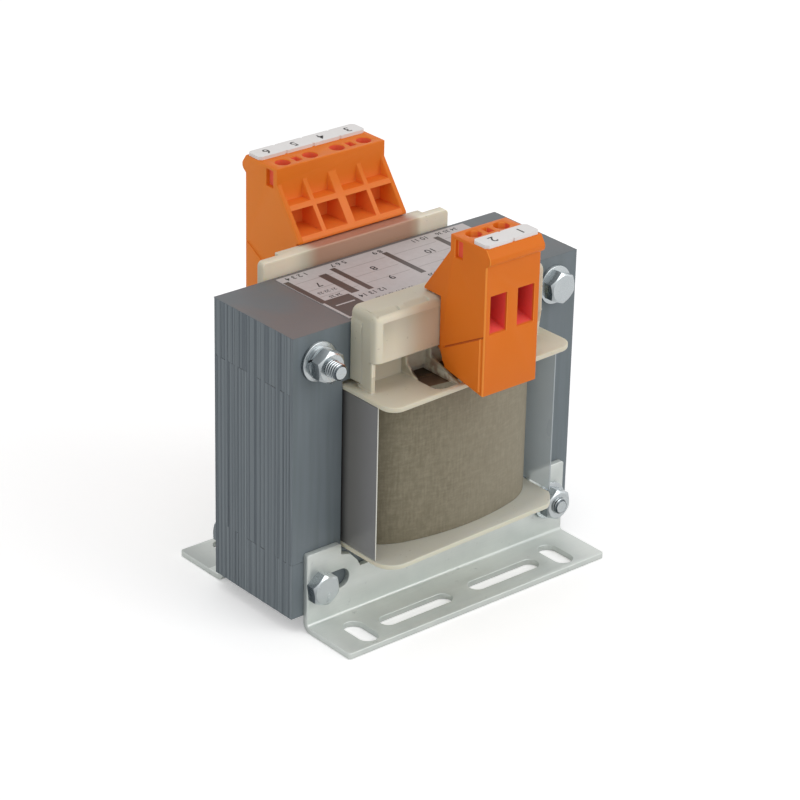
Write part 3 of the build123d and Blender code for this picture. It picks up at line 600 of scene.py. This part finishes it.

# %% [markdown]
# Light and shade are painted into the nylon's colour. Its left faces above the upper flange and
# the rail's top are painted darker as shade. The rail's front is painted lighter at its left end,
# and darker further right in a painted shadow of the front block. The lower flange's top is
# painted in shade and its front face lighter. The wall in front of the four-pole block carries
# painted orange light from the block and painted light at its ends. Resin has stained the upper
# flange round the opening.

# %% Bobbin surface
nylon = Paint("bobbin_plastic")
nylon.milky(0.35, (1.0, 0.75, 0.45), 2.5)
x, y, z = nylon.axes()
face_x, face_y, face_z = nylon.facing()
milk = nylon.noise(14.0, detail=2)
# Painted shade on the left faces above the upper flange.
shaded_left_side = (-face_x).ramp(0.5, 0.9) * (z > 59.5)
# Painted light at the left end of the rail's front, and a painted shadow of the front block
# further right.
on_rail = (-face_y).ramp(0.5, 0.9) * (z > 63)
# Painted shade on the lower flange's top and painted light on its front face.
lower_flange = z < 22
# Painted shade on the top of the front rail.
rail_top = (z > 76) * (y < 0) * face_z.ramp(0.5, 0.9)
glue = nylon.noise(2.2, detail=4)
on_flange = (z > 56.0) * z.fall(59.6, 64.5)
near_opening = (-y).ramp(16.5, 18.5) * (-y).fall(26.0, 30.0) * abs(x).fall(11.4, 14.1)
wander = abs(x + 12.4 + 1.2 * (glue - 0.5))
drip = wander.fall(0.25, 0.6) * between(-y, 20, 28.5) * on_flange
rear_wall = y.ramp(14.0, 15.5)
# Painted orange light from the four-pole block, showing through the rear wall.
block_light_through_wall = rear_wall * x.ramp(-15.5, -11.0) * x.fall(15.0, 19.5) * z.ramp(70, 74)
# Painted light on the rear wall's front face, at its two ends.
lit_wall_face = rear_wall * z.ramp(64, 70) * (-face_y).ramp(-0.2, 0.4)
speck = nylon.noise(0.9, detail=1).ramp(0.73, 0.78)
ground = nylon.coats(nylon.mix(milk, (206, 200, 180), (216, 211, 192)),
                     (shaded_left_side * 0.4, (160, 158, 140)),
                     (on_rail * x.fall(-21.0, -16.0) * 0.7, (238, 230, 208)),
                     (on_rail * x.ramp(-18.0, -11.5) * 0.6, (190, 164, 134)),
                     (lower_flange * face_z.ramp(0.4, 0.8) * 0.5, (178, 184, 180)),
                     (lower_flange * (-face_y).ramp(0.4, 0.8) * 0.5, (222, 224, 208)),
                     (rail_top * 0.5, (184, 176, 156)),
                     (glue.ramp(0.4, 0.66) * near_opening * on_flange * 0.7, (134, 92, 58)),
                     (drip * 0.85, (66, 48, 34)),
                     (block_light_through_wall * 0.9, (172, 108, 84)),
                     (lit_wall_face * x.ramp(17.5, 19.5) * 0.9, (252, 246, 228)),
                     (lit_wall_face * x.fall(-19, -15) * 0.7, (246, 230, 208)),
                     (speck * 0.3, (140, 128, 104)))
skin = nylon.bump(nylon.noise(0.7), 0.012, 0.6)
coat(bobbin, nylon.finish(Base_Color=ground, Roughness=0.36 + 0.16 * milk, Normal=skin))
fasten(bobbin, "bobbin_plastic", "bobbin")

# %% [markdown]
# ## Terminal blocks
# Both blocks are moulded in orange polyamide with a fine satin skin, faint flow marks and a fine
# grain. Light that bounces from wall to wall inside the wire entries comes out a deep red, and
# the material helps that along with a redder tone there. The front block's outer upright edges
# have a painted highlight, and the groove along its side panel is painted dark as shade. The
# rear block's left face is painted lighter, and the faces inside its cells are painted lighter or
# darker by their direction, as light and shade.

# %% Terminal blocks
polyamide = Paint("block_plastic", Specular_IOR_Level=0.2)
polyamide.milky(0.12, (1.0, 0.3, 0.05), 1.5)
x, y, z = polyamide.axes()
face_x, face_y, face_z = polyamide.facing()
reach = abs(y)
flow = polyamide.noise(9.0, detail=2, stretch=(1, 1, 0.4))
# Painted light and shade on the faces inside the rear block's cells, set by their direction.
cell = between(y, 15, 31) * (z > 60) * z.fall(84, 89) * between(x, -13.6, 16.0)
across = ((y < 0) * between(x, -6.5, 6.9)).larger((y > 0) * between(x, -13.5, 15.9))
in_entry = across * reach.fall(37.4, 38.3) * (reach > 29) * between(z, 73.4, 83.2)
in_well = across * area(reach, z, 28.2, 32.1, 85, 94.05) * face_z.fall(0.3, 0.6)
in_recess = area(reach, z, 27.95, 30.45, 89.15, 93.25)
above_panel = z - 66.7 + (y + 25.7) * 0.528
# Painted shade in the groove along the front block's side panel.
panel_line = area(above_panel, -y, -0.1, 0.4, 25.6, 38.2) * (-face_x).ramp(0.3, 0.7)
# Painted highlight on the front block's outer upright edges.
upright_edge_highlight = (y < 0) * (-face_x).ramp(0.2, 0.5) * (-face_y).ramp(0.2, 0.5)
# The rear block's left face is painted lighter, as light.
ground = polyamide.coats(polyamide.mix(flow, (224, 115, 24), (231, 121, 30)),
                         ((y > 0) * (-face_x).ramp(0.5, 0.9), (240, 134, 44)),
                         (cell * face_z.ramp(0.3, 0.7) * 0.75, (226, 104, 40)),
                         (cell * (-face_x).ramp(0.3, 0.7) * 0.8, (238, 110, 48)),
                         (cell * (-face_y).ramp(0.3, 0.7) * 0.6, (250, 142, 72)),
                         (any_of([in_entry, in_recess * 0.7, in_well * 0.6]), (250, 94, 88)),
                         (panel_line * 0.7, (150, 52, 20)),
                         (upright_edge_highlight * 0.8, (255, 160, 70)))
grain = polyamide.bump(polyamide.noise(0.22, detail=2), 0.008, 0.6)
block_plastic = polyamide.finish(Base_Color=ground, Roughness=0.38 + 0.16 * flow, Normal=grain)
for side in ("front", "rear"):
    block = rounded_copy(f"{side}_block_moulding", f"{side}_terminal_block", 0.18)
    coat(block, block_plastic)
    fasten(block, "block_plastic", f"{side}_terminal_block")

# %% [markdown]
# ## Marker strips
# A white strip is pressed into the top of each block, and the poles are numbered from 1 to 6. The
# text is made with the built-in font, turned into a mesh, laid flat on the strip and joined into
# one piece.

# %% Numbers on the strips
PRINT_HEIGHT = 0.012
STRIP_TEXT, STRIP_REACH = 3.5, 35.6     # height of the numbers, and their y


def number(text, size, x, y, z):
    """A flat number whose top points to the front, in millimetres."""
    bpy.ops.object.select_all(action="DESELECT")
    bpy.ops.object.text_add()
    writing = bpy.context.object.data
    writing.body = text
    writing.size = size * MM
    writing.align_x = "CENTER"
    writing.align_y = "CENTER"
    writing.offset = min(0.045, 0.014 * size) * MM
    writing.extrude = PRINT_HEIGHT * MM
    bpy.ops.object.convert(target="MESH")
    piece = bpy.context.object
    piece.location = (x * MM, y * MM, z * MM)
    piece.rotation_euler = (0, 0, math.pi)
    bpy.ops.object.transform_apply(location=True, rotation=True, scale=True)
    return piece


ink = Paint("black_ink", Roughness=0.55)
wear = ink.noise(0.35).ramp(0.55, 0.75)
black_ink = ink.finish(Base_Color=ink.mix(wear, (38, 34, 33), (92, 86, 84)))

poles = [(x, -STRIP_REACH) for x in FRONT_POLES] + [(x, STRIP_REACH) for x in REAR_POLES]
marks = [number(str(i + 1), STRIP_TEXT, x, y, STRIP_TOP - PRINT_HEIGHT)
         for i, (x, y) in enumerate(poles)]
strip_numbers = joined("strip_numbers", marks)
coat(strip_numbers, black_ink)
fasten(strip_numbers, "marker_plastic")

marker = Paint("marker_plastic")
cloud = marker.noise(5.0)
marker_white = marker.finish(Base_Color=marker.mix(cloud, (226, 222, 220), (236, 234, 233)),
                             Roughness=0.42 + 0.2 * cloud,
                             Normal=marker.bump(marker.noise(0.3), 0.006, 0.5))
for side in ("front", "rear"):
    nodes[f"{side}_marker_strip"].data.materials[0] = marker_white

# %% [markdown]
# ## Coil wrap, windings and films
# The coil is wrapped in grey-brown pressboard: short fibres in all directions, a mottled colour
# and no gloss. Copper shows only through the openings above it. A stiff hazy film stands on each
# side of the coil.

# %% Wrap and windings


def resin_and_shade(paint, ground):
    """Resin that impregnates the coil's end, with painted shade: dark olive at the back, under the
    rails, paler towards the front.
    """
    y = paint.axes()[1]
    face_z = paint.facing()[2]
    near = abs(y) + (paint.noise(2.0, detail=4) - 0.5) * 6
    tone = paint.coats((74, 64, 52), (near.ramp(18, 22), (122, 96, 78)),
                       (near.ramp(22, 27), (146, 128, 106)))
    return paint.mix(face_z.ramp(0.5, 0.8) * 0.95, ground, tone)


board = Paint("wrap_board", Roughness=0.88)
x = board.axes()[0]
mottle = board.noise(1.5, detail=5, roughness=0.7)
warp = board.noise(0.5, stretch=(1, 1, 0.14))
weft = board.noise(0.5, stretch=(0.16, 0.16, 1))
# The wrap is painted lighter towards the right, as light, and darker at its left end, as shade.
ground = board.coats(board.mix(mottle.ramp(0.3, 0.7), (121, 113, 92), (142, 135, 114)),
                     ((warp - 0.5) * 1.6 + (weft - 0.5) * 1.2 + 0.3, (106, 98, 78)),
                     (board.noise(13.0, detail=2) * 0.35, (148, 142, 122)),
                     (x.ramp(-24, 26) * 0.45, (168, 160, 143)),
                     (x.fall(-27, -17) * 0.35, (92, 82, 62)))
nap = board.bump(mottle + warp * 0.6 + weft * 0.6, 0.05, 0.7)
nodes["outer_wrap"].data.materials[0] = board.finish(Base_Color=resin_and_shade(board, ground), Normal=nap)

copper = Paint("winding_wire", Metallic=0.5, Roughness=0.42)
turns = copper.node("ShaderNodeTexWave", {"bands_direction": "Z"},
                    {"Vector": copper.place(), "Scale": 0.9, "Distortion": 0.4})
shade = copper.coats(copper.mix(copper.noise(2.0), (150, 84, 44), (186, 112, 62)),
                     (turns * 0.5, (98, 52, 28)))
winding_wire = copper.finish(Base_Color=resin_and_shade(copper, shade), Normal=copper.bump(turns, 0.12, 0.7))
for node in ("primary_winding", "secondary_winding", "primary_leads", "secondary_leads"):
    nodes[node].data.materials[0] = winding_wire

paper = Paint("insulation_paper", Roughness=0.8)
ground = paper.mix(paper.noise(0.8, detail=4), (196, 170, 120), (176, 148, 98))
nodes["interwinding_insulation"].data.materials[0] = paper.finish(Base_Color=resin_and_shade(paper, ground))

# %% [markdown]
# The left film is painted in shade, darker beside the core and paler at its lower end, where the
# flange lies behind it; it looks nearly opaque. The right one is clearer, with a painted bluish
# reflection. Both have a painted highlight on their cut edges.

# %% Films
film = Paint("clear_film")
x, y, z = film.axes()
face_y = film.facing()[1]
haze = film.noise(9.0, detail=2, stretch=(1, 1, 0.3))
reach = abs(y)
is_right = x.ramp(-1, 1)
# Painted highlight on the films' cut edges, which are also made opaque.
cut_edge = (-face_y).ramp(0.5, 0.9)
# Painted shade on the left film, darker beside the core; painted bluish reflection on the right
# one.
ground = film.coats((66, 66, 66),
                    (reach.ramp(14.0, 17.0), (120, 119, 116)),
                    (reach.ramp(17.0, 26.0) * 0.7, (138, 138, 140)),
                    (z.fall(17.0, 21.0) * 0.6, (176, 174, 166)),
                    (is_right, (204, 214, 220)),
                    (cut_edge, film.mix(is_right, (226, 226, 216), (176, 184, 188))))
veil = 0.92 - 0.46 * is_right + 0.06 * haze
film_grey = film.finish(Base_Color=ground, Alpha=veil.larger(0.9 * cut_edge),
                        Roughness=0.22 + 0.2 * haze)
for side in ("left", "right"):
    nodes[f"{side}_insulation_film"].data.materials[0] = film_grey

# %% [markdown]
# ## Zinc-plated steel
# The feet are punched and folded from sheet and plated with bright zinc. The plating mirrors the
# white tent softly, with fine rolling streaks along the sheet, a faint cloudiness and a few
# darker rubs. A painted shadow of the core lies on top faces at the rear left. Turned parts get
# the same finish with less streak, a painted dark reflection of the core on their left faces and
# painted shade in the roots of their threads.

# %% Zinc
ROOT_RADIUS = 1.84                  # the thread's roots are painted in shade below this radius


def zinc_finish(name, grain, low, high, rough, metal, shade):
    zinc = Paint(name)
    x, y, z = zinc.axes()
    face_x, face_y, face_z = zinc.facing()
    streak = zinc.noise(1.0, detail=4, stretch=grain)
    cloud = zinc.noise(7.0)
    rub = zinc.noise(3.0, detail=5, roughness=0.65).ramp(0.62, 0.76)
    # Painted shadow of the core on top faces at the rear left.
    rear_left_shadow = face_z.ramp(0.5, 0.9) * (y > 20) * x.fall(-42, -30)
    beside = abs(x) - BOLT_X
    above_high, above_low = z - HIGH_BOLT_Z, z - LOW_BOLT_Z
    from_axis = (beside * beside + above_high * above_high * (z > 40)
                 + above_low * above_low * (z < 40))    # squared, to the bolt nearby
    # Painted shade in the roots of the threads.
    root = between(from_axis, 1.0, ROOT_RADIUS ** 2) * (abs(face_y) < 0.9) * (abs(y) > 15)
    # The shade argument sets the strength of a painted dark reflection of the core on left faces.
    ground = zinc.coats(zinc.mix(cloud, low, high),
                        (streak * 0.3, (205, 212, 210)),
                        (rub * 0.35, (138, 144, 146)),
                        ((-face_x).ramp(0.25, 0.7) * shade, (96, 106, 112)),
                        (rear_left_shadow * 0.6, (136, 142, 140)),
                        (root * 0.85, (66, 74, 80)))
    return zinc.finish(Base_Color=ground,
                       Roughness=rough + 0.14 * cloud + 0.1 * streak + 0.08 * rub,
                       Metallic=metal - 0.45 * face_z.ramp(0.5, 0.9),
                       Normal=zinc.bump(streak, 0.01, 0.5))


zinc_sheet = zinc_finish("zinc_sheet", grain=(0.1, 3.0, 3.0), low=(208, 214, 211),
                         high=(234, 237, 232), rough=0.36, metal=0.8, shade=0.0)
zinc_turned = zinc_finish("zinc_steel", grain=(1.0, 1.0, 1.0), low=(196, 203, 207),
                          high=(224, 229, 231), rough=0.16, metal=1.0, shade=0.75)
for side in ("front", "rear"):
    foot = rounded_copy(f"{side}_foot", f"{side}_foot_bracket", 0.14)
    coat(foot, zinc_sheet)
    fasten(foot, "zinc_steel", f"{side}_foot_bracket")
    nodes[f"{side}_clamp_cages"].data.materials[0] = zinc_turned
    nodes[f"{side}_terminal_screws"].data.materials[0] = zinc_turned
washers = rounded_copy("washers", "core_washers", 0.12)
coat(washers, zinc_turned)
fasten(washers, "zinc_steel", "core_washers")

brass = Paint("tinned_brass", Metallic=0.9)
dull = brass.noise(2.0, detail=4)
tinned = brass.finish(Base_Color=brass.mix(dull, (206, 198, 176), (182, 170, 140)),
                      Roughness=0.3 + 0.2 * dull)
for side in ("front", "rear"):
    nodes[f"{side}_current_bars"].data.materials[0] = tinned

# %% [markdown]
# ## Bolts and nuts
# Four M4 bolts hold the stack, the lower two a little shorter. A hexagon head is a six-sided bar
# whose corners were turned off by a blunt cone, so here a six-sided cylinder is intersected with
# a cone. The thread is a real helix: a short zigzag is carried round by the Screw modifier, cut
# square at both ends, drawn in to a blunt point and set round a plain rod that closes its end.

# %% Hexagons
ACROSS_FLATS = 7.0
HEAD_HEIGHT, NUT_HEIGHT = 2.8, 3.2
FACE_RADIUS, CHAMFER = 3.2, 32      # where the chamfer starts, and its angle in degrees
CONE_HEIGHT = 8.0


def hexagon(name, height, both_ends):
    """A hexagon that reaches from 0 to -Y."""
    corners = ACROSS_FLATS / 2 / math.cos(math.pi / 6)
    piece = shape(bpy.ops.mesh.primitive_cylinder_add, name, vertices=6, radius=corners * MM,
                  depth=height * MM, location=(0, -height / 2 * MM, 0), rotation=FACING_FRONT)
    wide = FACE_RADIUS + CONE_HEIGHT / math.tan(math.radians(CHAMFER))
    for top, sense in ((-height, 1), (0.0, -1))[:2 if both_ends else 1]:
        low, high = (FACE_RADIUS, wide) if sense == 1 else (wide, FACE_RADIUS)
        boolean(piece, "INTERSECT",
                cutter(bpy.ops.mesh.primitive_cone_add, "cone", vertices=48, radius1=high * MM,
                       radius2=low * MM, depth=CONE_HEIGHT * MM, rotation=FACING_FRONT,
                       location=(0, (top + sense * CONE_HEIGHT / 2) * MM, 0)))
    return piece


head = hexagon("head", HEAD_HEIGHT, False)
nut = hexagon("nut", NUT_HEIGHT, True)
drill(nut, 0, 0, BOLT_DIAMETER + 0.1, depth=12, sides=32)
print("head", len(head.data.polygons), "nut", len(nut.data.polygons))

# %% Thread
PITCH = 0.7
THREAD_LENGTH = 13.0
TIP_RADIUS = 1.56
THREAD_END = PITCH + THREAD_LENGTH
profile = bpy.data.meshes.new("thread")
crest = [(2.0, 0.0), (2.0, 0.08), (1.58, 0.34), (1.58, 0.44), (2.0, PITCH)]
profile.from_pydata([(r * MM, h * MM, 0) for r, h in crest], [(i, i + 1) for i in range(4)], [])
thread = linked("thread", profile)
apply_modifier(thread, "SCREW", axis="Y", angle=2 * math.pi, screw_offset=PITCH * MM, steps=24,
               render_steps=24, iterations=int(THREAD_LENGTH / PITCH) + 3, use_merge_vertices=True,
               merge_threshold=0.001 * MM)
only(thread)
bpy.ops.object.mode_set(mode="EDIT")
bpy.ops.mesh.select_all(action="SELECT")
bpy.ops.mesh.remove_doubles(threshold=SMALLEST_STEP * MM)
for height, keep_above in ((PITCH, True), (THREAD_END, False)):
    bpy.ops.mesh.select_all(action="SELECT")
    bpy.ops.mesh.bisect(plane_co=(0, height * MM, 0), plane_no=(0, 1, 0),
                        clear_inner=keep_above, clear_outer=not keep_above)
bpy.ops.mesh.select_all(action="SELECT")
bpy.ops.mesh.normals_make_consistent(inside=False)
bpy.ops.object.mode_set(mode="OBJECT")
for vertex in thread.data.vertices:
    radius = math.hypot(vertex.co.x, vertex.co.z)
    allowed = (TIP_RADIUS + THREAD_END) * MM - vertex.co.y
    if radius > allowed:
        shrink = allowed / radius
        vertex.co = (vertex.co.x * shrink, vertex.co.y, vertex.co.z * shrink)
print("thread", len(thread.data.polygons), [round(v / MM, 2) for v in thread.dimensions])

# %% Whole bolts
HIGH_BOLT_LENGTH, LOW_BOLT_LENGTH = 38, 37
SHANK_RADIUS, CORE_RADIUS = 1.98, 1.6


def rod(radius, start, end):
    """A round bar along Y with small chamfers, in millimetres."""
    piece = shape(bpy.ops.mesh.primitive_cylinder_add, "rod", vertices=32, radius=radius * MM,
                  depth=(end - start) * MM, location=(0, (start + end) / 2 * MM, 0),
                  rotation=FACING_FRONT)
    apply_modifier(piece, "BEVEL", width=0.12 * MM, segments=1, limit_method="ANGLE")
    return piece


def whole_bolt(length):
    """Head, shank and thread in one piece, reaching from the head's seat to +Y."""
    shank_end = length - THREAD_LENGTH
    parts = [linked(source.name, source.data.copy()) for source in (head, thread)]
    parts[1].data.transform(Matrix.Translation((0, (shank_end - PITCH) * MM, 0)))
    return joined("bolt", parts + [rod(SHANK_RADIUS, -0.2, shank_end + 0.5),
                                   rod(CORE_RADIUS, shank_end, length)])


high_bolt = whole_bolt(HIGH_BOLT_LENGTH)
low_bolt = whole_bolt(LOW_BOLT_LENGTH)

# %% A split spring washer
WASHER_THICKNESS, WASHER_RADIUS = 1.0, 3.8
spring_washer = shape(bpy.ops.mesh.primitive_cylinder_add, "spring_washer", vertices=48,
                      radius=WASHER_RADIUS * MM, depth=WASHER_THICKNESS * MM,
                      rotation=FACING_FRONT,
                      location=(0, -WASHER_THICKNESS / 2 * MM, 0))
drill(spring_washer, 0, 0, BOLT_DIAMETER + 0.2, depth=6, sides=48)
boolean(spring_washer, "DIFFERENCE",
        cutter(bpy.ops.mesh.primitive_cube_add, "split", scale=(2.4 * MM, 3 * MM, 0.5 * MM),
               size=1, location=(3 * MM, -WASHER_THICKNESS / 2 * MM, 0),
               rotation=(math.radians(35), 0, 0)))
apply_modifier(spring_washer, "BEVEL", width=0.12 * MM, segments=2, limit_method="ANGLE")

# %% [markdown]
# The heads and the nuts face the front and the rear by turns. Each row below is one bolt: its x
# and z, the side that the nut is on, 1 for the rear, and how far the seats of the head and of the
# nut stand from the middle of the core.

# %% Bolts in their places
high_seats, low_seats = (15.3, 16.4), (16.0, 16.8)
bolt_places = ((-BOLT_X, HIGH_BOLT_Z, -1, *high_seats), (BOLT_X, HIGH_BOLT_Z, 1, *high_seats),
               (-BOLT_X, LOW_BOLT_Z, 1, *low_seats), (BOLT_X, LOW_BOLT_Z, -1, *low_seats))
HEAD_TWIST, NUT_TWIST, SPLIT_TWIST = -7, -5, 200    # degrees
SPRING_SEAT = 15.35


def set_out(piece, x, y, z, side, twist):
    """A copy of a part modelled at the origin, facing the front (side 1) or the rear (side -1)."""
    mesh = piece.data.copy()
    mesh.transform(Matrix.Rotation(math.radians(twist), 4, "Y"))
    if side == -1:
        mesh.transform(Matrix.Rotation(math.pi, 4, "Z"))
    mesh.transform(Matrix.Translation((x * MM, y * MM, z * MM)))
    return linked(piece.name, mesh)


bolts = []
nuts = []
springs = []
for x, z, side, head_seat, nut_seat in bolt_places:
    high = z == HIGH_BOLT_Z
    bolt = high_bolt if high else low_bolt
    bolts.append(set_out(bolt, x, -side * head_seat, z, side, HEAD_TWIST))
    nuts.append(set_out(nut, x, side * nut_seat, z, -side, NUT_TWIST))
    if high:
        springs.append(set_out(spring_washer, x, side * SPRING_SEAT, z, -side, SPLIT_TWIST))
for master in (head, thread, high_bolt, low_bolt, nut, spring_washer):
    bpy.data.objects.remove(master)
for name, copies, replaced in (("bolts", bolts, ("core_bolts",)), ("nuts", nuts, ("core_nuts",)),
                               ("spring_washers", springs, ())):
    piece = joined(name, copies)
    smooth(piece, 30)
    coat(piece, zinc_turned)
    fasten(piece, "zinc_steel", *replaced)

# %% [markdown]
# ## The label
# A thin silver-grey label lies on top of the core. Its print is a form: dark bars that part the
# fields, thin ruled lines and a dark title band. All of that is drawn by the material from the
# place on the label. The fields hold plain numbers, made as the numbers on the strips are.

# %% Label
label = Paint("label_film")
x, y = label.axes()[:2]
FIELDS = ((-23.3, -12.4), (-9.9, 2.9), (5.6, 18.4), (21.2, 29.4))    # x where each field runs
RULE_HEIGHTS = (8.5, 3.6, -0.5)
HALF_RULE = 0.09
BAR_LEFT, BAR_RIGHT = 1.9, 0.35     # from the start of its field
bars = [area(x, y, start - BAR_LEFT, start - BAR_RIGHT, -3.6, 10.7) for start, end in FIELDS]
rules = any_of([area(x, y, start, end, height - HALF_RULE, height + HALF_RULE)
                for start, end in FIELDS for height in RULE_HEIGHTS])
title = area(x, y, -24.6, -16.9, -12.7, -2.6) * (1 - area(x, y, -23.4, -18.0, -6.5, -6.0))
panel = area(x, y, -16.2, -13.9, -2.9, 9.3)
fade = label.noise(1.2, detail=4)
ground = label.coats(label.mix(fade, (178, 170, 169), (196, 190, 190)),
                     (rules * 0.55, (96, 86, 82)),
                     (any_of([*bars, title, panel]) * 0.95,
                      label.mix(fade, (46, 34, 30), (66, 52, 46))))
nodes["rating_label"].data.materials[0] = label.finish(Base_Color=ground,
                                                       Roughness=0.3 + 0.2 * fade)

# %% [markdown]
# Each row below is a text, its height and its place on the label.

# %% Numbers on the label
entries = (
    ("7", 3.0, -19.2, 5.4), ("8", 3.0, -3.2, 5.2), ("9", 3.0, -3.2, -1.2), ("10", 3.0, 13.8, 5.2),
    ("11", 3.0, 13.8, -1.4), ("1 2 3 4", 2.2, -20.3, 12.0), ("5 6 7", 2.2, -8.2, 12.0),
    ("8 9", 2.2, 3.3, 11.9), ("10 11", 2.2, 16.2, 11.9), ("12 13 14", 2.2, -12.0, -5.2),
    ("15 16 17 18 19 20", 1.5, -8.0, -8.3), ("21 22 23", 1.5, -19.9, 1.4),
    ("24 25", 1.5, -19.9, -1.6), ("26 27 28 29", 1.6, 8.0, -5.4), ("30 31", 1.8, 24.6, 5.2),
    ("32 33", 1.8, 24.6, -1.2), ("34 35 36", 1.8, 24.4, 11.9))
label_numbers = joined("label_numbers", [number(text, size, x, y, LABEL_TOP)
                                         for text, size, x, y in entries])
coat(label_numbers, black_ink)
fasten(label_numbers, "label_film")
